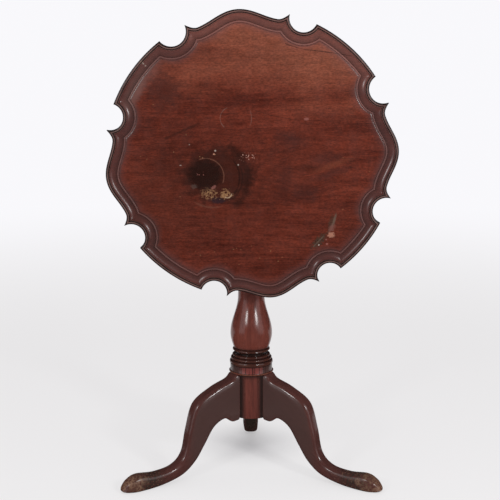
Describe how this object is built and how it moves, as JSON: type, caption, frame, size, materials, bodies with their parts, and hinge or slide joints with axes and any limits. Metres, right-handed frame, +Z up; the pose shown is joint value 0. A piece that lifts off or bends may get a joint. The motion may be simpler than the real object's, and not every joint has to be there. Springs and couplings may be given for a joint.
{
  "type": "piecrust tilt-top table",
  "caption": "Round dished tea table with a carved piecrust rim, hinged to tip upright on a turned column with cabriole legs and slipper feet.",
  "frame": {"origin": "centre of the bounding box on the floor, with the top upright", "axes": "+Z up, the upright top's polished face looks along -Y, the single rear leg points to +Y"},
  "size_m": [0.6386, 0.5112, 1.0607],
  "materials": {
    "mahogany_top": "old waxed polish, worn and stained",
    "mahogany_column": "glossy old polish",
    "mahogany_legs": "dark polish, rubbed at the feet",
    "secondary_wood": "dry, unpolished",
    "brass": "tarnished",
    "steel": "dull, old"
  },
  "bodies": {
    "stand": {"column": "mahogany_column", "tenon_wedge": "secondary_wood", "leg_left": "mahogany_legs", "leg_right": "mahogany_legs", "leg_rear": "mahogany_legs", "tilt_block": "secondary_wood", "strike_plate": "brass", "strike_screw_1": "steel", "strike_screw_2": "steel"},
    "top": {"top_board": "mahogany_top", "batten_left": "secondary_wood", "batten_right": "secondary_wood", "batten_screw_left_1": "steel", "batten_screw_left_2": "steel", "batten_screw_left_3": "steel", "batten_screw_left_4": "steel", "batten_screw_right_1": "steel", "batten_screw_right_2": "steel", "batten_screw_right_3": "steel", "batten_screw_right_4": "steel", "catch_case": "brass", "case_screw_1": "steel", "case_screw_2": "steel", "case_screw_3": "steel", "case_screw_4": "steel", "catch_spring": "steel"},
    "bolt": {"catch_bolt": "brass"}
  },
  "joints": [
    {"name": "top_tilt", "type": "hinge", "parent": "stand", "child": "top", "pos_m": [0, -0.14032, 0.6851], "axis": [-1, 0, 0], "range_deg": [0, 90]},
    {"name": "bolt_slide", "type": "slide", "parent": "top", "child": "bolt", "axis": [0, 0, 1], "range_m": [0, 0.008], "stiffness_N_per_m": 300, "springref_m": -0.006, "deforming": ["catch_spring"]}
  ]
}
